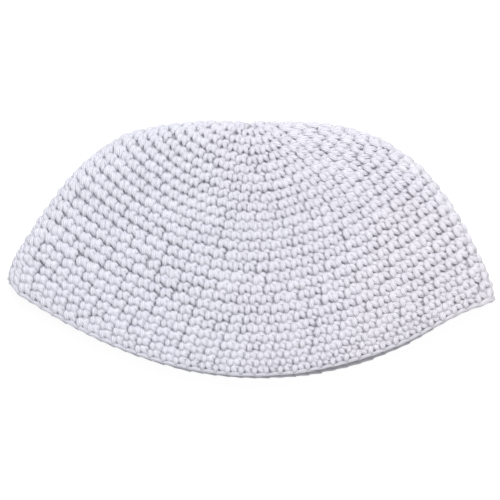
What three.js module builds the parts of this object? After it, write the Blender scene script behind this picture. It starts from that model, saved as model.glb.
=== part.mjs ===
// A crocheted kippah, worked in the round from the crown in thick cotton yarn, lying folded in half.
// Millimetres. X runs along the fold, Y from the mouth towards the crown, Z up from the surface.
// The origin is on that surface, under the middle of the cap's box.
import * as THREE from "three";

// Driving dimensions.
const ROUNDS = 27; // rounds of single crochet from the crown's centre to the edge
const WALL = 4.2; // thickness of the crocheted fabric
const CROWN_HEIGHT = 19; // thickness of the folded cap at the crown
const MOUTH_HEIGHT = 14.4; // and at the mouth
const CROWN_BULGE = 20; // how far in from the fold the upper layer still rises, at the crown
const MOUTH_BULGE = 9; // and at the mouth
const LOWER_BEND = 8; // how far in from the fold the lower layer lies flat
const RIDGE_SHARE = 0.45; // height of the fold's ridge, as a share of the cap's thickness
const LAYER_SHIFT = 0.9; // how far the lower layer's mouth reaches past the upper one's

// Where the shell ends and the edge round starts and ends, counted in rounds. The gap is about 0.4 mm.
const SHELL_END = ROUNDS + 0.25;
const EDGE_START = SHELL_END + 0.1;
const EDGE_END = ROUNDS + 1;

// How the rounds lie in plan: where each crosses the left fold, the right fold and the middle of a
// layer, and how steeply it dips from each fold, in degrees.
const COLUMNS = ["round", "leftX", "leftY", "leftDip", "rightX", "rightY", "rightDip", "midX", "midY"];
const SECTIONS = [
  [0, 0, 66, 90, 0, 66, 90, 0, 66],
  [1, -6.5, 66, 90, 6.6, 66, 90, 0.3, 64.4],
  [3, -19.5, 66, 89, 20, 65.6, 88, 0.6, 56.3],
  [6, -38.9, 64.6, 81, 40, 64.4, 80, 1, 41.9],
  [10, -64, 58.8, 66, 65.8, 57.5, 66, 1.4, 22.4],
  [14, -85.4, 44.4, 48, 88, 42.5, 47, 1.8, 2.2],
  [18, -101, 25.7, 37, 104, 22.2, 35, 2.2, -19.9],
  [22, -114.2, 6.2, 32, 116, 0.3, 32, 2.5, -40.7],
  [25, -121.2, -6.2, 32, 122.2, -13.4, 32, 2.7, -54.4],
  [28, -124.9, -20, 32, 124.9, -27.6, 22, 2.8, -65.2],
].map((row) => Object.fromEntries(COLUMNS.map((name, i) => [name, row[i]])));

// The handles of a round's path in plan, as shares of the distance from the fold to the middle. The
// one at the fold also goes no further than a share of the way down to the middle's level.
const FOLD_HANDLE = 0.15;
const MIDDLE_HANDLE = 0.45;
const DROP_SHARE = 0.6;

// How finely the smooth shell is faceted.
const SHELL_ROUNDS = [0.5, 1.2, 2.2, 3.5, 5, 7, 9.5, 12, 14.5, 17, 19.5, 22, 24.5, 26, SHELL_END];
const SHELL_STEPS = 22; // facets along a round in each layer
const EDGE_STEPS = 40;
const FOLD_STEPS = 120; // samples of the fold that distances are measured to

// The edge round's section: how far along it towards the mouth, and how deep in the fabric's thickness.
const EDGE_PROFILE = [
  { along: 0, depth: 0.18 },
  { along: 0.55, depth: 0.06 },
  { along: 0.92, depth: 0.22 },
  { along: 1, depth: 0.5 },
  { along: 0.92, depth: 0.78 },
  { along: 0.55, depth: 0.94 },
  { along: 0, depth: 0.82 },
];

// The table's columns at any round, on a smooth curve through its rows.
function sectionAt(round) {
  const last = SECTIONS.length - 1;
  let i = 0;
  while (i < last - 1 && SECTIONS[i + 1].round < round) i++;
  const slope = (j, name) => {
    const a = SECTIONS[Math.max(j - 1, 0)];
    const b = SECTIONS[j];
    const c = SECTIONS[Math.min(j + 1, last)];
    const before = a === b ? 0 : (b[name] - a[name]) / (b.round - a.round);
    const after = b === c ? 0 : (c[name] - b[name]) / (c.round - b.round);
    if (a === b) return after;
    if (b === c) return before;
    return (before * (c.round - b.round) + after * (b.round - a.round)) / (c.round - a.round);
  };
  const low = SECTIONS[i];
  const high = SECTIONS[i + 1];
  const span = high.round - low.round;
  const t = (round - low.round) / span;
  const at = {};
  for (const name of COLUMNS)
    at[name] =
      (2 * t ** 3 - 3 * t ** 2 + 1) * low[name] +
      (t ** 3 - 2 * t ** 2 + t) * span * slope(i, name) +
      (3 * t ** 2 - 2 * t ** 3) * high[name] +
      (t ** 3 - t ** 2) * span * slope(i + 1, name);
  return at;
}

// Where a round crosses the fold on one side ("left" or "right"), and the fold's inward normal there.
function foldAt(round, side) {
  const read = (r) => {
    const at = sectionAt(r);
    return new THREE.Vector2(at[side + "X"], at[side + "Y"]);
  };
  const step = 0.05;
  const along = read(round + step).sub(read(round - step)).normalize();
  const turn = side === "left" ? 1 : -1;
  return { point: read(round), inward: new THREE.Vector2(-turn * along.y, turn * along.x) };
}

// The fold's line in plan, from the crown down each side, for distances to it.
const FOLD = ["left", "right"].flatMap((side) =>
  Array.from({ length: FOLD_STEPS + 1 }, (_, i) => foldAt((i / FOLD_STEPS) * EDGE_END, side).point),
);

function distanceToFold(point, inset) {
  return Math.max(Math.min(...FOLD.map((p) => p.distanceTo(point))) - inset, 0);
}

// A round's path in plan, from the left fold to the right one, drawn in from the fold by inset.
function pathOf(round, inset) {
  const at = sectionAt(round);
  const crown = SECTIONS[0].midY;
  const mouth = SECTIONS[SECTIONS.length - 1].midY;
  const squeeze = (crown - inset - mouth) / (crown - mouth);
  const middle = new THREE.Vector2(at.midX, mouth + (at.midY - mouth) * squeeze);
  const half = (side, sign) => {
    const { point, inward } = foldAt(round, side);
    const start = point.addScaledVector(inward, inset);
    const dip = THREE.MathUtils.degToRad(at[side + "Dip"]);
    const reach = start.distanceTo(middle);
    const drop = Math.max(start.y - middle.y, 0) / Math.sin(dip);
    const handle = Math.min(FOLD_HANDLE * reach, DROP_SHARE * drop);
    const leaving = new THREE.Vector2(-sign * Math.cos(dip), -Math.sin(dip));
    const arriving = new THREE.Vector2(sign * MIDDLE_HANDLE * reach, 0);
    return new THREE.CubicBezierCurve(
      start,
      leaving.multiplyScalar(handle).add(start),
      arriving.add(middle),
      middle,
    );
  };
  const path = new THREE.CurvePath();
  const right = half("right", 1);
  path.add(half("left", -1));
  path.add(new THREE.CubicBezierCurve(right.v3, right.v2, right.v1, right.v0));
  return path;
}

// One closed loop round the folded cap: the upper layer from left to right, then the lower one back.
function loopOf(round, inset, steps) {
  const height = THREE.MathUtils.lerp(CROWN_HEIGHT, MOUTH_HEIGHT, round / EDGE_END);
  const bulge = THREE.MathUtils.lerp(CROWN_BULGE, MOUTH_BULGE, round / EDGE_END);
  const ridge = height * RIDGE_SHARE;
  const path = pathOf(round, inset);
  const rise = (point, reach) => {
    const share = Math.min(distanceToFold(point, inset) / reach, 1);
    return Math.sqrt(1 - (1 - share) ** 2);
  };
  const points = [];
  for (let i = 0; i < 2 * steps; i++) {
    const turn = (Math.PI * i) / steps;
    const upper = i < steps;
    const point = path.getPointAt((1 - Math.cos(turn)) / 2);
    const atRidge = i % steps === 0;
    let z = ridge;
    if (!atRidge && upper) z += (height - inset - ridge) * rise(point, bulge - inset);
    if (!atRidge && !upper) z -= (ridge - inset) * rise(point, LOWER_BEND - inset);
    const shift = upper ? 0 : LAYER_SHIFT * (round / EDGE_END) ** 3 * Math.sin(turn) ** 2;
    points.push(new THREE.Vector3(point.x, point.y - shift, z));
  }
  return points;
}

// A closed mesh from rings of points: each ring joins the next, and the ends close on a point each,
// or on each other.
function meshOfRings(rings, ends) {
  const count = rings[0].length;
  const positions = [];
  for (const ring of rings) for (const p of ring) positions.push(p.x, p.y, p.z);
  const index = [];
  const join = (a, b) => {
    for (let j = 0; j < count; j++) {
      const k = (j + 1) % count;
      index.push(a * count + j, b * count + j, b * count + k);
      index.push(a * count + j, b * count + k, a * count + k);
    }
  };
  for (let i = 0; i + 1 < rings.length; i++) join(i, i + 1);
  if (ends) {
    const first = positions.length / 3;
    for (const p of ends) positions.push(p.x, p.y, p.z);
    const last = rings.length - 1;
    for (let j = 0; j < count; j++) {
      const k = (j + 1) % count;
      index.push(first, j, k);
      index.push(first + 1, last * count + k, last * count + j);
    }
  } else join(rings.length - 1, 0);
  const geometry = new THREE.BufferGeometry();
  geometry.setAttribute("position", new THREE.Float32BufferAttribute(positions, 3));
  geometry.setIndex(index);
  geometry.computeVertexNormals();
  return geometry;
}

// The crocheted shell: its outside from the crown to the mouth, and its inside back to the crown.
function crownGeometry() {
  const outside = SHELL_ROUNDS.map((round) => loopOf(round, 0, SHELL_STEPS));
  const inside = SHELL_ROUNDS.map((round) => loopOf(round, WALL, SHELL_STEPS)).reverse();
  const ridge = CROWN_HEIGHT * RIDGE_SHARE;
  const crown = SECTIONS[0].midY;
  const ends = [0, WALL].map((inset) => new THREE.Vector3(0, crown - inset, ridge));
  return meshOfRings([...outside, ...inside], ends);
}

// The finishing round: a rounded strand that follows the mouth, between the shell's two faces.
function edgeGeometry() {
  const rings = EDGE_PROFILE.map(({ along, depth }) => {
    const round = EDGE_START + (EDGE_END - EDGE_START) * along;
    const outside = loopOf(round, 0, EDGE_STEPS);
    const inside = loopOf(round, WALL, EDGE_STEPS);
    return outside.map((p, i) => p.lerp(inside[i], depth));
  });
  return meshOfRings(rings, null);
}

function yarn(colour) {
  return new THREE.MeshStandardMaterial({ color: colour, roughness: 0.9, metalness: 0 });
}

const crown = new THREE.Mesh(crownGeometry(), yarn(0xeeeef4));
crown.name = "crown";

const edgeRound = new THREE.Mesh(edgeGeometry(), yarn(0xf2f0f2));
edgeRound.name = "edge_round";

const group = new THREE.Group();
group.add(crown, edgeRound);

export default group;
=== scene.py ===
"""A crocheted kippah lying folded in half. Each stitch is made of yarn strands laid on the folded shell.

Lengths are in metres, in the frame's own axes: X along the fold, Y towards the crown, Z up.
"""

import math

import bpy
import numpy as np
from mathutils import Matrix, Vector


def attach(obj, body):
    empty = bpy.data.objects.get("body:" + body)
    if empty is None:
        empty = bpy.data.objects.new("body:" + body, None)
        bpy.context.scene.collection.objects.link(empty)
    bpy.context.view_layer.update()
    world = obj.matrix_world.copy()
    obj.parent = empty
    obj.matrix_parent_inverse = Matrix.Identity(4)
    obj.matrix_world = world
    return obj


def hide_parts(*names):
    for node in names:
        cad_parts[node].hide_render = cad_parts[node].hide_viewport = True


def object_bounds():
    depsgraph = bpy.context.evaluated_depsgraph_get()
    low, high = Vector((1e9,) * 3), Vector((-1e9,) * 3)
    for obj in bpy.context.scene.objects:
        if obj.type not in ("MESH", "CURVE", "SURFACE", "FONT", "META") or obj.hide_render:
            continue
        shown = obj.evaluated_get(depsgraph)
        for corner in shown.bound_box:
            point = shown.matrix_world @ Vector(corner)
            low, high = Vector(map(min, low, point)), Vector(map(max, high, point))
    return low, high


MM = 0.001
SEED = 7
LEAST_LENGTH = 1e-12  # shorter vectors are not stretched to a unit

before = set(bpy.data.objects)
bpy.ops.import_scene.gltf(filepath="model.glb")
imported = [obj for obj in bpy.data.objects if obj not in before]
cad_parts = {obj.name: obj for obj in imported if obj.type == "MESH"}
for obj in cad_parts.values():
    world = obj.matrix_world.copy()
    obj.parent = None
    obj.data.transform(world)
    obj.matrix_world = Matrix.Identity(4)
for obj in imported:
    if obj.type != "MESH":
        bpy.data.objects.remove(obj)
cad_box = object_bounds()

# ---------------------------------------------------------------- the folded shell, as in the CAD

WALL = 4.2 * MM
CROWN_HEIGHT = 19 * MM
MOUTH_HEIGHT = 14.4 * MM
CROWN_BULGE = 20 * MM
MOUTH_BULGE = 9 * MM
LOWER_BEND = 8 * MM
RIDGE_SHARE = 0.45
LAYER_SHIFT = 0.9 * MM

# How the mouth's edge leaves the CAD's smooth line, as the lying cap does.
BACK_PEEK = 1.8 * MM  # how much further the lower layer's edge shows, right of the middle
PEEK_MIDDLE = 60 * MM
PEEK_REACH = 38 * MM
RIM_LIFT = 2.0 * MM  # how far the mouth's edge curves up near its right end
LIFT_MIDDLE = 104 * MM
LIFT_REACH = 16 * MM
RIGHT_EAR = 2.0 * MM  # how far the mouth's right corner is drawn out
LEFT_EAR = 1.3 * MM
EAR_MIDDLE = 125 * MM
EAR_REACH = 9 * MM
PEEK_POWER = 3  # how strongly each of the three is kept to the last rounds
LIFT_POWER = 4
EAR_POWER = 12

ROUNDS = 27
EDGE_END = ROUNDS + 1

# Where each round crosses the left fold, the right fold and the middle of a layer (mm), and how
# steeply it dips from each fold (degrees).
COLUMNS = ("round", "leftX", "leftY", "leftDip", "rightX", "rightY", "rightDip", "midX", "midY")
SECTIONS = np.array([
    (0, 0, 66, 90, 0, 66, 90, 0, 66),
    (1, -6.5, 66, 90, 6.6, 66, 90, 0.3, 64.4),
    (3, -19.5, 66, 89, 20, 65.6, 88, 0.6, 56.3),
    (6, -38.9, 64.6, 81, 40, 64.4, 80, 1, 41.9),
    (10, -64, 58.8, 66, 65.8, 57.5, 66, 1.4, 22.4),
    (14, -85.4, 44.4, 48, 88, 42.5, 47, 1.8, 2.2),
    (18, -101, 25.7, 37, 104, 22.2, 35, 2.2, -19.9),
    (22, -114.2, 6.2, 32, 116, 0.3, 32, 2.5, -40.7),
    (25, -121.2, -6.2, 32, 122.2, -13.4, 32, 2.7, -54.4),
    (28, -124.9, -20, 32, 124.9, -27.6, 22, 2.8, -65.2),
])

# The handles of a round's path in plan, as shares of the distance from the fold to the middle. The
# one at the fold also goes no further than a share of the way down to the middle's level.
FOLD_HANDLE = 0.15
MIDDLE_HANDLE = 0.45
DROP_SHARE = 0.6

# How finely the shell is sampled for laying yarn on it.
GRID_STEP = 0.25  # rounds between loops
GRID_FIRST = 0.1
GRID_LAST = EDGE_END + 0.6
LOOP_SAMPLES = 1024
PATH_SAMPLES = 260
EVEN_SAMPLES = 4 * PATH_SAMPLES
FOLD_SAMPLES = 160
NORMAL_STEP = 2  # samples to each side that the direction round the loop is read over
NORMAL_SPREAD = 4  # samples to each side that a normal is evened out over
NORMAL_PASSES = 3
FOLD_STEP = 0.05  # rounds to each side that the fold's direction is read over


def section_at(rounds):
    """The table's columns at the given rounds, on a smooth curve through its rows."""
    knots = SECTIONS[:, 0]
    values = SECTIONS[:, 1:]
    steps = np.diff(knots)[:, None]
    rates = np.diff(values, axis=0) / steps
    slopes = np.empty_like(values)
    slopes[0], slopes[-1] = rates[0], rates[-1]
    slopes[1:-1] = (rates[:-1] * steps[1:] + rates[1:] * steps[:-1]) / (steps[:-1] + steps[1:])
    rounds = np.atleast_1d(rounds)
    i = np.clip(np.searchsorted(knots, rounds, side="right") - 1, 0, len(knots) - 2)
    span = steps[i]
    t = ((rounds - knots[i])[:, None]) / span
    at = (
        (2 * t**3 - 3 * t**2 + 1) * values[i]
        + (t**3 - 2 * t**2 + t) * span * slopes[i]
        + (3 * t**2 - 2 * t**3) * values[i + 1]
        + (t**3 - t**2) * span * slopes[i + 1]
    )
    return dict(zip(COLUMNS[1:], at.T))


def bell(values, middle, reach):
    """One at the middle, falling off smoothly with the distance from it."""
    return np.exp(-(((values - middle) / reach) ** 2))


def unit(v):
    return v / np.maximum(np.linalg.norm(v, axis=-1, keepdims=True), LEAST_LENGTH)


def fold_at(rounds, side):
    """Where rounds cross the fold on one side, in plan, and the fold's inward normal there."""
    def read(r):
        at = section_at(r)
        return np.stack([at[side + "X"], at[side + "Y"]], axis=-1) * MM
    along = unit(read(rounds + FOLD_STEP) - read(rounds - FOLD_STEP))
    turn = 1 if side == "left" else -1
    return read(rounds), np.stack([-turn * along[:, 1], turn * along[:, 0]], axis=-1)


def fold_line():
    rounds = np.linspace(0, GRID_LAST, FOLD_SAMPLES)
    left, _ = fold_at(rounds, "left")
    right, _ = fold_at(rounds, "right")
    return np.vstack([left[::-1], right[1:]])


FOLD = fold_line()


def distance_to_fold(points):
    """How far each point is from the fold, in plan."""
    a, b = FOLD[:-1], FOLD[1:]
    ab = b - a
    ap = points[:, None, :] - a[None]
    t = np.clip((ap * ab).sum(-1) / (ab * ab).sum(-1), 0, 1)
    return np.linalg.norm(ap - t[..., None] * ab, axis=-1).min(axis=1)


def bezier(p, t):
    """Points on the cubic curve with the four given handles."""
    t = t[:, None]
    return (1 - t) ** 3 * p[0] + 3 * (1 - t) ** 2 * t * p[1] + 3 * (1 - t) * t * t * p[2] + t**3 * p[3]


def plan_path(round_, inset):
    """A round's path in plan from the left fold to the right one, drawn in from the fold by inset."""
    at = {k: float(v[0]) for k, v in section_at(round_).items()}
    crown, mouth = SECTIONS[0, -1] * MM, SECTIONS[-1, -1] * MM
    squeeze = (crown - inset - mouth) / (crown - mouth)
    middle = np.array([at["midX"] * MM, mouth + (at["midY"] * MM - mouth) * squeeze])
    t = np.linspace(0, 1, PATH_SAMPLES)
    halves = []
    for side, sign in (("left", -1), ("right", 1)):
        point, inward = fold_at(np.array([float(round_)]), side)
        start = point[0] + inward[0] * inset
        dip = math.radians(at[side + "Dip"])
        reach = np.linalg.norm(start - middle)
        drop = max(start[1] - middle[1], 0) / math.sin(dip)
        handle = min(FOLD_HANDLE * reach, DROP_SHARE * drop)
        leaving = start + handle * np.array([-sign * math.cos(dip), -math.sin(dip)])
        arriving = middle + np.array([sign * MIDDLE_HANDLE * reach, 0])
        halves.append(bezier((start, leaving, arriving, middle), t))
    return np.vstack([halves[0], halves[1][-2::-1]])


def resample(points, count, closed=False):
    """Points evenly spaced along a line through the given ones."""
    if closed:
        points = np.vstack([points, points[:1]])
    lengths = np.concatenate([[0], np.cumsum(np.linalg.norm(np.diff(points, axis=0), axis=1))])
    at = np.linspace(0, lengths[-1], count + 1 if closed else count)
    if closed:
        at = at[:-1]
    return np.stack([np.interp(at, lengths, points[:, k]) for k in range(points.shape[1])], axis=-1)


def shape_mouth(plan, share):
    """Draws out the mouth's corners and curves its right end up, in plan."""
    shaped = plan.copy()
    for ear, middle in ((RIGHT_EAR, EAR_MIDDLE), (-LEFT_EAR, -EAR_MIDDLE)):
        shaped[:, 0] += ear * share**EAR_POWER * bell(shaped[:, 0], middle, EAR_REACH)
    shaped[:, 1] += RIM_LIFT * share**LIFT_POWER * bell(plan[:, 0], LIFT_MIDDLE, LIFT_REACH)
    return shaped


def shell_loop(round_, inset):
    """One closed loop round the folded cap, upper layer first, evenly sampled along its length."""
    share = round_ / EDGE_END
    height = CROWN_HEIGHT + (MOUTH_HEIGHT - CROWN_HEIGHT) * share
    bulge = CROWN_BULGE + (MOUTH_BULGE - CROWN_BULGE) * share
    ridge = height * RIDGE_SHARE
    even = resample(plan_path(round_, inset), EVEN_SAMPLES)
    turn = np.linspace(0, math.pi, PATH_SAMPLES)
    at = (1 - np.cos(turn)) / 2 * (len(even) - 1)
    plan = np.stack([np.interp(at, np.arange(len(even)), even[:, k]) for k in (0, 1)], axis=-1)
    reach = np.maximum(distance_to_fold(plan) - inset, 0)
    reach[[0, -1]] = 0

    def rise(bend):
        return np.sqrt(1 - (1 - np.minimum(reach / bend, 1)) ** 2)

    shaped = shape_mouth(plan, share)
    upper = np.column_stack([shaped, ridge + (height - inset - ridge) * rise(bulge - inset)])
    lower = np.column_stack([shaped, ridge - (ridge - inset) * rise(LOWER_BEND - inset)])
    peek = BACK_PEEK * bell(shaped[:, 0], PEEK_MIDDLE, PEEK_REACH)
    lower[:, 1] -= (LAYER_SHIFT + peek) * share**PEEK_POWER * np.sin(turn) ** 2
    return resample(np.vstack([upper, lower[-2:0:-1]]), LOOP_SAMPLES, closed=True)


class Surface:
    """The fabric's middle surface: places and outward normals at (round, share of the way round)."""

    def __init__(self, inset):
        self.rounds = np.arange(GRID_FIRST, GRID_LAST, GRID_STEP)
        self.place = np.array([shell_loop(r, inset) for r in self.rounds])
        ahead = np.roll(self.place, -NORMAL_STEP, axis=1)
        around = ahead - np.roll(self.place, NORMAL_STEP, axis=1)
        outward = np.gradient(self.place, axis=0)
        self.normal = unit(np.cross(outward, around))
        for _ in range(NORMAL_PASSES):
            before = np.roll(self.normal, NORMAL_SPREAD, axis=1)
            after = np.roll(self.normal, -NORMAL_SPREAD, axis=1)
            self.normal = unit(self.normal + before + after)

    def read(self, table, rounds, around):
        """A table's values between its samples, at the given rounds and shares of the way round."""
        i = np.clip((rounds - GRID_FIRST) / GRID_STEP, 0, len(self.rounds) - 1.001)
        j = (around % 1.0) * LOOP_SAMPLES
        i0 = i.astype(int)
        j0 = j.astype(int) % LOOP_SAMPLES
        j1 = (j0 + 1) % LOOP_SAMPLES
        fi, fj = (i - i0)[..., None], (j - np.floor(j))[..., None]
        low = table[i0, j0] * (1 - fj) + table[i0, j1] * fj
        high = table[i0 + 1, j0] * (1 - fj) + table[i0 + 1, j1] * fj
        return low * (1 - fi) + high * fi

    def at(self, rounds, around, height):
        """Points at a height over the surface, and the surface's normals there."""
        place = self.read(self.place, rounds, around)
        normal = unit(self.read(self.normal, rounds, around))
        return place + normal * height[..., None], normal


fabric = Surface(WALL / 2)

# ---------------------------------------------------------------- yarn

# A stitch's strands: columns are share of a stitch along the round, share of a round towards the
# mouth, height over the fabric's middle (mm) and the strand's radius (mm).
LEFT_LEG = (
    (0.04, -0.06, -1.7, 0.80),
    (-0.02, 0.12, 0.0, 1.20),
    (-0.08, 0.36, 1.05, 1.52),
    (-0.10, 0.63, 1.20, 1.58),
    (-0.08, 0.90, 0.2, 1.28),
    (-0.02, 1.07, -1.5, 0.85),
)
RIGHT_LEG = (
    (0.08, -0.06, -1.6, 0.80),
    (0.17, 0.09, -0.1, 1.15),
    (0.29, 0.28, 0.68, 1.44),
    (0.41, 0.50, 0.72, 1.46),
    (0.50, 0.72, -0.1, 1.18),
    (0.56, 0.90, -1.4, 0.82),
)
CHAIN_LOOP = (
    (0.18, -0.10, -1.2, 0.80),
    (0.32, -0.06, -0.1, 1.15),
    (0.47, 0.00, 0.45, 1.38),
    (0.61, 0.05, 0.40, 1.32),
    (0.73, 0.09, -0.3, 1.05),
    (0.83, 0.10, -1.3, 0.80),
)
INNER_BAR = (
    (-0.50, 0.50, -0.9, 0.90),
    (-0.25, 0.42, -1.4, 1.10),
    (0.10, 0.34, -1.5, 1.10),
    (0.40, 0.38, -1.3, 1.10),
    (0.65, 0.50, -0.9, 0.90),
)
STRANDS = (LEFT_LEG, RIGHT_LEG, CHAIN_LOOP, INNER_BAR)

# Stitches lie flatter along the fold and in the last round.
FOLD_PRESS = 0.5
FOLD_REACH = 6 * MM
LAST_RELIEF = 0.65

# The yarn is thicker near the mouth, and in the edge chain at the right corner.
RIM_SWELL = 0.07
RIM_FROM = 18  # the round it starts from
CORNER_SWELL = 0.4
CURL_REACH = 14 * MM  # how near that corner

# How long a stitch is, as a share of its table's length, about a point that stays in place.
STITCH_MIDDLE = 0.35
LAST_REACH = 1.12  # in the last round
LEAN_SHORT = 0.16  # how much shorter the most leaning stitches left of the middle are

# The mouth's corners are rounded: how many rounds its edge is drawn up there, and how near.
CORNER_TUCK = 0.8  # at the left corner
RIGHT_TUCK = 0.1  # at the right one
CORNER_REACH = 5 * MM

# The core shell's faces, over the fabric's middle, and its facets round the cap.
CORE_TOP = -0.75 * MM
CORE_SINK = 0.4 * MM  # how much lower the top is towards the mouth
CORE_SINK_FROM = 12  # the round it sinks from, and the rounds it takes
CORE_SINK_ROUNDS = 12
CORE_RIM = 1.0 * MM  # how much higher the top is at the mouth
CORE_RIM_FROM = ROUNDS - 0.6
CORE_RIM_ROUNDS = 0.5
CORE_BOTTOM = -1.8 * MM
CORE_STEPS = 160

# Where the core's rings lie, in rounds: one that nearly closes the crown, then even ones to the mouth.
CORE_FIRST = 0.14
CORE_SECOND = 0.45
CORE_LAST = ROUNDS + 0.35
CORE_RINGS = 29

# The edge: one chain link to a stitch, half of it on each face of the fabric.
FRONT_LINK = (
    (-0.18, 0.30, -0.5, 0.65),
    (0.06, 0.20, 0.55, 0.92),
    (0.36, 0.11, 1.10, 1.04),
    (0.68, 0.10, 1.00, 1.00),
    (0.94, 0.17, 0.35, 0.86),
    (1.14, 0.26, -0.5, 0.62),
)
BACK_LINK = tuple((u, v, -w, r) for u, v, w, r in FRONT_LINK)
EDGE_STRANDS = (FRONT_LINK, BACK_LINK)

# Where a round slopes in plan, its stitches lean by a share of the slope. On the upper layer a round
# falls towards the middle from the left, and rises from there to the right.
LEAN_SHARE = 0.6
MOST_LEAN = 0.8  # the steepest fall that counts
RIGHT_SHARE = 0.45  # how much a rise counts; it leans the stitches the same way as a fall
RIGHT_LEAN = 0.3  # the most that a rise counts
LEAN_CENTRE = 0.4  # where in a stitch it leans about, as a share of the round
LEAN_STEP = 0.2  # how much of a round and of a stitch a slope is read over
LEAST_FALL = 0.2  # keeps the slope finite where a column runs level

# How many more stitches a round has than the one before, up to a round and after it.
INCREASE = 6
FULL_ROUND = 12
LATE_INCREASE = 0.5

COLUMN_SHIFT = 0.2  # stitches that a column moves to the left in each round
FRONT_MIDDLE = 0.25  # where the upper layer's middle lies, as a share of the loop

# A strand's tube.
SIDES = 8
SPANS = 8  # lengths between its rings
FLATNESS = 0.9  # its thickness as a share of its width
SOFT_DEPTH = 0.8 * MM  # how near the surface yarn starts to be pressed flat
STITCH_SIZE = 5.2 * MM  # the stitch that the strands' radii are given for
FAT_POWER = 0.6  # small stitches are made of nearly as thick a yarn as large ones
MOST_FAT = 1.12

# How much stitches differ: along the round, towards the mouth, in height (mm) and in thickness.
JITTER = (0.04, 0.04, 0.12, 0.06)
MOST_JITTER = 2.0  # standard deviations
EDGE_JITTER = 0.4  # the edge's, as a share of the stitches'
ODD_SHARE = 0.07  # some stitches are pulled further out of place than the others
ODD_JITTER = 1.9

# Pieces of the crown: the first and last round of each.
GROUPS = ((1, 9), (10, 14), (15, 18), (19, 22), (23, 25), (26, 27))

# The yarn's surface. A scale counts a pattern's repeats in a metre.
PLIES = 9.0  # plies round a strand
PLY_WANDER = 0.9  # how many plies' widths they stray
PLY_WANDER_SCALE = 500
GROOVE_POWER = 0.6  # below one, grooves are narrow
GROOVE_SHADE_SHARE = 0.6  # how much of the painted groove shade a groove takes on
FIBRE_SCALE = 1400
FIBRE_DETAIL = 3
PLAIN_DETAIL = 2  # of the patterns that aren't fibres
BUMP_DEPTH = 0.30 * MM
DRIFT_SCALE = 22
WARM_TO_RIGHT = 6.0  # how fast the yarn turns warmer to the right, per metre
WARM_BIAS = 0.2
COOL_WHITE = (0.77, 0.77, 0.845, 1)
WARM_WHITE = (0.785, 0.77, 0.83, 1)
# Painted shade: the darker colours painted into the grooves between plies, where shade falls.
COOL_GROOVE_SHADE = (0.40, 0.40, 0.50, 1)
WARM_GROOVE_SHADE = (0.48, 0.43, 0.47, 1)
YARN_ROUGHNESS = 0.95
YARN_SPECULAR = 0.15


def spline(control, count):
    """Points along a smooth curve through the control points, all columns alike."""
    p = np.array(control, float)
    p = np.vstack([2 * p[0] - p[1], p, 2 * p[-1] - p[-2]])
    s = np.linspace(0, len(control) - 1, count)
    i = np.minimum(s.astype(int), len(control) - 2)
    t = (s - i)[:, None]
    a, b, c, d = p[i], p[i + 1], p[i + 2], p[i + 3]
    square = 2 * a - 5 * b + 4 * c - d
    cube = 3 * b - a - 3 * c + d
    return 0.5 * (2 * b + (c - a) * t + square * t**2 + cube * t**3)


def stitch_count(round_):
    late = INCREASE * FULL_ROUND + (round_ - FULL_ROUND) * LATE_INCREASE
    return int(round(min(INCREASE * round_, late)))


def stitches(rng):
    """Every stitch's round, place round the loop and share of the loop, and its jitter."""
    rows = []
    for round_ in range(1, ROUNDS + 1):
        count = stitch_count(round_)
        for k in range(count):
            rows.append((round_, FRONT_MIDDLE + (k - COLUMN_SHIFT * round_) / count, 1 / count))
    rows = np.array(rows)
    jitter = np.clip(rng.normal(size=(len(rows), len(JITTER))), -MOST_JITTER, MOST_JITTER)
    odd = rng.random(len(rows)) < ODD_SHARE
    jitter[odd] *= ODD_JITTER
    return rows, jitter


def settle(points):
    """The yarn pressed flat where it would sink into the surface the cap lies on."""
    z = points[..., 2]
    pressed = SOFT_DEPTH * np.exp(np.minimum(z - SOFT_DEPTH, 0) / SOFT_DEPTH)
    points[..., 2] = np.where(z < SOFT_DEPTH, pressed, z)
    return points


def frames_along(centre, normal):
    """At each point of each strand, the directions away from the fabric and to the side."""
    tangent = unit(np.gradient(centre, axis=1))
    ups = np.empty_like(centre)
    sides = np.empty_like(centre)
    up = normal[:, 0]
    for k in range(centre.shape[1]):
        up = unit(up - (up * tangent[:, k]).sum(-1, keepdims=True) * tangent[:, k])
        ups[:, k] = up
        sides[:, k] = np.cross(tangent[:, k], up)
    return ups, sides


def tube_faces(strands, count):
    """The quads and end caps of many tubes that have the given number of rings each."""
    base = (np.arange(strands) * count * SIDES)[:, None, None]
    ring, side = np.meshgrid(np.arange(count - 1), np.arange(SIDES), indexing="ij")
    near, far = ring * SIDES, (ring + 1) * SIDES
    after = (side + 1) % SIDES
    quad = np.stack([near + side, near + after, far + after, far + side], axis=-1)
    quads = (base[..., None] + quad[None]).reshape(-1, 4)
    first_cap = np.arange(SIDES)[::-1]
    last_cap = (count - 1) * SIDES + np.arange(SIDES)
    return quads, np.vstack([base[:, 0] + first_cap, base[:, 0] + last_cap])


def tube_meshes(centre, normal, radius, along):
    """Closed tubes: vertices, quads, end caps, and each vertex's shares along and round its strand."""
    strands, count = centre.shape[:2]
    ups, sides = frames_along(centre, normal)
    angle = math.pi + np.arange(SIDES) * 2 * math.pi / SIDES
    upward = np.cos(angle)[:, None] * FLATNESS * ups[:, :, None]
    sideways = np.sin(angle)[:, None] * sides[:, :, None]
    rings = centre[:, :, None] + radius[:, :, None, None] * (upward + sideways)
    quads, caps = tube_faces(strands, count)
    share = np.broadcast_to(along[None, :, None], (strands, count, SIDES))
    turn = np.broadcast_to(np.arange(SIDES) / SIDES, (strands, count, SIDES))
    return settle(rings.reshape(-1, 3)), quads, caps, share.reshape(-1), turn.reshape(-1)


def add_object(name, data):
    made = bpy.data.objects.new(name, data)
    bpy.context.scene.collection.objects.link(made)
    return made


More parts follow.
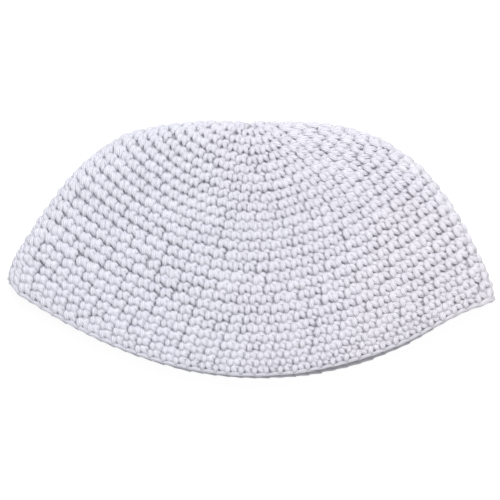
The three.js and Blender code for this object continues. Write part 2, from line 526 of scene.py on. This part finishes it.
def yarn_coordinates(corners, quad_corners, along, turn):
    """Each face corner's shares along and round its strand. Quads at the seam end at one, not zero."""
    turn = turn[corners]
    quad_turn = turn[:quad_corners].reshape(-1, 4)
    at_seam = (quad_turn == 0) & (quad_turn.max(axis=1, keepdims=True) > 0.5)
    turn[:quad_corners] = np.where(at_seam, 1.0, quad_turn).ravel()
    return np.stack([along[corners], turn], axis=-1)


def yarn_object(name, parts, material):
    """One mesh from the tubes of several strands."""
    verts, quads, caps, along, turn = zip(*parts)
    bases = np.cumsum([0] + [len(v) for v in verts])
    verts, along, turn = np.vstack(verts), np.concatenate(along), np.concatenate(turn)
    quads = np.vstack([q + base for q, base in zip(quads, bases)])
    caps = np.vstack([c + base for c, base in zip(caps, bases)])
    corners = np.concatenate([quads.ravel(), caps.ravel()])
    starts = np.concatenate([np.arange(len(quads)) * 4, quads.size + np.arange(len(caps)) * SIDES])
    mesh = bpy.data.meshes.new(name)
    mesh.vertices.add(len(verts))
    mesh.vertices.foreach_set("co", verts.astype(np.float32).ravel())
    mesh.loops.add(len(corners))
    mesh.loops.foreach_set("vertex_index", corners.astype(np.int32))
    mesh.polygons.add(len(starts))
    mesh.polygons.foreach_set("loop_start", starts.astype(np.int32))
    mesh.update(calc_edges=True)
    mesh.shade_smooth()
    shares = yarn_coordinates(corners, quads.size, along, turn)
    mesh.uv_layers.new(name="yarn").data.foreach_set("uv", shares.astype(np.float32).ravel())
    mesh.materials.append(material)
    return add_object(name, mesh)


class NodeKit:
    """Makes and joins the nodes of one material."""

    def __init__(self, material):
        material.use_nodes = True
        self.nodes = material.node_tree.nodes
        self.links = material.node_tree.links
        self.shader = self.nodes["Principled BSDF"]

    def feed(self, socket, value):
        """Sets a socket to a number or a colour, or links it to another node's output."""
        if isinstance(value, (int, float, tuple)):
            socket.default_value = value
        else:
            self.links.new(value, socket)

    def calculate(self, operation, *values):
        made = self.nodes.new("ShaderNodeMath")
        made.operation = operation
        for socket, value in zip(made.inputs, values):
            self.feed(socket, value)
        return made.outputs[0]

    def mix(self, share, first, second):
        made = self.nodes.new("ShaderNodeMixRGB")
        for name, value in (("Fac", share), ("Color1", first), ("Color2", second)):
            self.feed(made.inputs[name], value)
        return made.outputs["Color"]

    def noise(self, place, scale, detail=PLAIN_DETAIL):
        made = self.nodes.new("ShaderNodeTexNoise")
        made.inputs["Scale"].default_value = scale
        made.inputs["Detail"].default_value = detail
        self.links.new(place, made.inputs["Vector"])
        return made.outputs["Fac"]

    def split(self, vector):
        made = self.nodes.new("ShaderNodeSeparateXYZ")
        self.links.new(vector, made.inputs[0])
        return made.outputs


def ply_pattern(kit, place):
    """Plies that wind along a strand: one on a ply's back, and zero in the groove beside it."""
    shares = kit.nodes.new("ShaderNodeUVMap")
    shares.uv_map = "yarn"
    yarn_at = kit.split(shares.outputs["UV"])
    turn = kit.calculate("ADD", kit.calculate("MULTIPLY", yarn_at["Y"], PLIES), yarn_at["X"])
    wander = kit.calculate("MULTIPLY", kit.noise(place, PLY_WANDER_SCALE), PLY_WANDER)
    angle = kit.calculate("MULTIPLY", kit.calculate("ADD", turn, wander), math.pi)
    return kit.calculate("ABSOLUTE", kit.calculate("SINE", angle))


def raise_plies(kit, place, ply):
    """The plies and the fibres as bump."""
    fibres = kit.noise(place, FIBRE_SCALE, FIBRE_DETAIL)
    bump = kit.nodes.new("ShaderNodeBump")
    bump.inputs["Strength"].default_value = 1.0
    bump.inputs["Distance"].default_value = BUMP_DEPTH
    kit.links.new(kit.calculate("ADD", ply, fibres), bump.inputs["Height"])
    kit.links.new(bump.outputs["Normal"], kit.shader.inputs["Normal"])


def yarn_colour(kit, place, ply):
    """White that is warmer to the right and in slow patches, with painted shade in the grooves between
    plies.
    """
    side = kit.calculate("MULTIPLY", kit.split(place)["X"], WARM_TO_RIGHT)
    patches = kit.calculate("SUBTRACT", kit.noise(place, DRIFT_SCALE), WARM_BIAS)
    clamp = kit.nodes.new("ShaderNodeClamp")
    kit.links.new(kit.calculate("ADD", side, patches), clamp.inputs["Value"])
    warmth = clamp.outputs["Result"]
    tint = kit.mix(warmth, COOL_WHITE, WARM_WHITE)
    # Painted shade: the grooves between plies are darkened in colour.
    shade = kit.mix(warmth, COOL_GROOVE_SHADE, WARM_GROOVE_SHADE)
    groove = kit.calculate("SUBTRACT", 1.0, kit.calculate("POWER", ply, GROOVE_POWER))
    return kit.mix(kit.calculate("MULTIPLY", groove, GROOVE_SHADE_SHARE), tint, shade)


def yarn_material():
    """Matt white cotton: twisted plies with painted shade in their grooves, fine fibres, and a slow
    drift of colour over the cap.
    """
    material = bpy.data.materials.new("white_cotton_yarn")
    kit = NodeKit(material)
    place = kit.nodes.new("ShaderNodeTexCoord").outputs["Object"]
    ply = ply_pattern(kit, place)
    raise_plies(kit, place, ply)
    kit.links.new(yarn_colour(kit, place, ply), kit.shader.inputs["Base Color"])
    kit.shader.inputs["Roughness"].default_value = YARN_ROUGHNESS
    kit.shader.inputs["Specular IOR Level"].default_value = YARN_SPECULAR
    return material


def cells(rows):
    """Each stitch's width, its round's height, how far its legs lean, and how much that shortens it."""
    middle = rows[:, 0] - 0.5
    here = fabric.read(fabric.place, middle, rows[:, 1])
    outward = fabric.read(fabric.place, middle + LEAN_STEP, rows[:, 1]) - here
    around = fabric.read(fabric.place, middle, rows[:, 1] + LEAN_STEP * rows[:, 2]) - here
    height = np.linalg.norm(outward, axis=1) / LEAN_STEP
    width = np.linalg.norm(around, axis=1) / LEAN_STEP
    slope = -unit(around)[:, 1] / np.maximum(-unit(outward)[:, 1], LEAST_FALL)
    slope = np.where(slope < 0, np.minimum(-RIGHT_SHARE * slope, RIGHT_LEAN), slope)
    slope = np.minimum(slope, MOST_LEAN)
    left = rows[:, 1] % 1 < FRONT_MIDDLE
    leaning = np.where(left, np.clip(slope / MOST_LEAN, 0, 1), 0)
    return width, height, LEAN_SHARE * slope * height / width, leaning


def corner_tuck(rounds, around):
    """How many rounds the mouth's edge is drawn up at each point, to round its corners at the fold."""
    place = fabric.read(fabric.place, rounds, around)
    gap = distance_to_fold(place.reshape(-1, 3)[:, :2]).reshape(rounds.shape)
    tuck = np.where(place[..., 0] < 0, CORNER_TUCK, RIGHT_TUCK)
    return tuck * bell(gap, 0, CORNER_REACH)


def relief_of(rows, place):
    """How much each stitch stands out from the fabric: less along the fold and in the last round."""
    relief = 1 - FOLD_PRESS * bell(distance_to_fold(place[:, :2]), 0, FOLD_REACH)
    return np.where(rows[:, 0] >= ROUNDS, LAST_RELIEF * relief, relief)


def swell_of(rows, place, jitter):
    """How thick each stitch's yarn is: by chance, near the mouth, and in the edge's right corner."""
    rim = RIM_SWELL * np.clip((rows[:, 0] - RIM_FROM) / (ROUNDS - RIM_FROM), 0, 1)
    corner = CORNER_SWELL * bell(place[:, 0], EAR_MIDDLE, CURL_REACH)
    chance = JITTER[3] * np.clip(jitter[:, 3], -MOST_JITTER, MOST_JITTER)
    return 1 + chance + np.where(rows[:, 0] > ROUNDS, corner, rim)


def lay(strands, rows, jitter):
    """The tubes of the given strands for the given stitches."""
    width, tall, lean, leaning = cells(rows)
    place = fabric.read(fabric.place, rows[:, 0], rows[:, 1])
    slim = np.minimum((np.sqrt(width * tall) / STITCH_SIZE) ** FAT_POWER, MOST_FAT)
    swell = swell_of(rows, place, jitter) * slim
    relief = relief_of(rows, place)
    reach = np.where(rows[:, 0] == ROUNDS, LAST_REACH, 1 - LEAN_SHORT * leaning)
    along = np.linspace(0, 1, SPANS + 1)
    parts = []
    for strand in strands:
        across, down, rise, radius = spline(strand, SPANS + 1).T
        stretched = STITCH_MIDDLE + (down - STITCH_MIDDLE) * reach[:, None]
        rounds = rows[:, 0, None] - 0.5 + stretched + JITTER[1] * jitter[:, 1, None]
        leant = across + JITTER[0] * jitter[:, 0, None] + lean[:, None] * (down - LEAN_CENTRE)
        around = rows[:, 1, None] + leant * rows[:, 2, None]
        if rows[-1, 0] >= ROUNDS:
            rounds = rounds - corner_tuck(rounds, around) * (rows[:, 0, None] >= ROUNDS)
        height = (rise + JITTER[2] * jitter[:, 2, None]) * relief[:, None] * MM
        centre, normal = fabric.at(rounds, around, height)
        parts.append(tube_meshes(centre, normal, radius * MM * swell[:, None], along))
    return parts


def make_stitches(material):
    rng = np.random.default_rng(SEED)
    rows, jitter = stitches(rng)
    for first, last in GROUPS:
        picked = (rows[:, 0] >= first) & (rows[:, 0] <= last)
        name = f"crown_rounds_{first:02d}_{last:02d}"
        piece = yarn_object(name, lay(STRANDS, rows[picked], jitter[picked]), material)
        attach(piece, "root")
        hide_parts("crown")
    final = rows[:, 0] == ROUNDS
    links_at = rows[final] + np.array([1.0, 0, 0])
    links = lay(EDGE_STRANDS, links_at, jitter[final] * EDGE_JITTER)
    edge = yarn_object("edge_chain", links, material)
    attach(edge, "root")
    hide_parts("edge_round")


def make_core(material):
    """The yarn inside the fabric, where the strands cross: a thin closed shell under the stitches."""
    rounds = np.append(CORE_FIRST, np.linspace(CORE_SECOND, CORE_LAST, CORE_RINGS))
    around = np.arange(CORE_STEPS) / CORE_STEPS
    rounds, around = np.meshgrid(rounds, around, indexing="ij")
    top = CORE_TOP - CORE_SINK * np.clip((rounds - CORE_SINK_FROM) / CORE_SINK_ROUNDS, 0, 1)
    top = top + CORE_RIM * np.clip((rounds - CORE_RIM_FROM) / CORE_RIM_ROUNDS, 0, 1)
    outside, _ = fabric.at(rounds, around, top)
    inside, _ = fabric.at(rounds, around, np.full(rounds.shape, CORE_BOTTOM))
    rings = settle(np.concatenate([outside, inside[::-1]]))
    count = len(rings)
    i, j = np.meshgrid(np.arange(count), np.arange(CORE_STEPS), indexing="ij")
    i2, j2 = (i + 1) % count, (j + 1) % CORE_STEPS
    row, row2 = i * CORE_STEPS, i2 * CORE_STEPS
    quads = np.stack([row + j, row2 + j, row2 + j2, row + j2], axis=-1)
    mesh = bpy.data.meshes.new("crown_core")
    mesh.from_pydata(rings.reshape(-1, 3).tolist(), [], quads.reshape(-1, 4).tolist())
    mesh.shade_smooth()
    mesh.uv_layers.new(name="yarn")
    mesh.materials.append(material)
    core = add_object("crown_core", mesh)
    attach(core, "root")
    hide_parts("crown")


yarn = yarn_material()
make_stitches(yarn)
make_core(yarn)

# ---------------------------------------------------------------- floor, light and camera

low, high = cad_box

WHITE = (1, 1, 1, 1)

FLOOR_HALF = 3.0
FLOOR_GAP = 0.2 * MM  # how far the floor lies under the cap
FLOOR_GREY = (0.3, 0.3, 0.3, 1)
FLOOR_ROUGHNESS = 0.9
FLOOR_GLOW = 0.80  # lifts the floor to the pure white of a studio table

SKY_POWER = 0.36
KEY_LIGHT = {"place": (0.05, 0.55, 1.00), "size": 0.4, "power": 10.2}
OVERHEAD_LIGHT = {"place": (0.2, 0.0, 3.6), "size": 2.0, "power": 40}

FRAME_WIDTH = 0.255  # metres across the picture, at the height of the fold
FRAME_CENTRE = (0.00026, -0.0005)  # the point on the cap under the picture's middle
CAMERA_DISTANCE = 3.0
SENSOR_WIDTH = 36  # millimetres


def make_floor():
    mesh = bpy.data.meshes.new("floor")
    corners = ((-1, -1), (1, -1), (1, 1), (-1, 1))
    verts = [(x * FLOOR_HALF, y * FLOOR_HALF, low.z - FLOOR_GAP) for x, y in corners]
    mesh.from_pydata(verts, [], [(0, 1, 2, 3)])
    floor = add_object("floor", mesh)
    material = bpy.data.materials.new("white_floor")
    material.use_nodes = True
    shader = material.node_tree.nodes["Principled BSDF"]
    shader.inputs["Base Color"].default_value = FLOOR_GREY
    shader.inputs["Roughness"].default_value = FLOOR_ROUGHNESS
    shader.inputs["Specular IOR Level"].default_value = 0.0
    shader.inputs["Emission Color"].default_value = WHITE
    shader.inputs["Emission Strength"].default_value = FLOOR_GLOW
    mesh.materials.append(material)


def area_light(name, place, size, power):
    data = bpy.data.lights.new(name, "AREA")
    data.shape = "DISK"
    data.size = size
    data.energy = power
    lamp = add_object(name, data)
    lamp.location = place
    aim = (low + high) / 2 - lamp.location
    lamp.rotation_euler = aim.to_track_quat("-Z", "Y").to_euler()


def make_light():
    world = bpy.data.worlds.new("studio")
    bpy.context.scene.world = world
    world.use_nodes = True
    sky = world.node_tree.nodes["Background"]
    sky.inputs["Color"].default_value = WHITE
    sky.inputs["Strength"].default_value = SKY_POWER
    area_light("key", **KEY_LIGHT)
    area_light("overhead", **OVERHEAD_LIGHT)


def make_camera():
    """Looks straight down on the cap."""
    fold_height = low.z + CROWN_HEIGHT * RIDGE_SHARE
    data = bpy.data.cameras.new("camera")
    data.sensor_width = SENSOR_WIDTH
    data.lens = SENSOR_WIDTH * CAMERA_DISTANCE / FRAME_WIDTH
    camera = add_object("camera", data)
    camera.location = (*FRAME_CENTRE, fold_height + CAMERA_DISTANCE)
    bpy.context.scene.camera = camera
    bpy.context.scene.view_settings.view_transform = "Standard"


make_floor()
make_light()
make_camera()
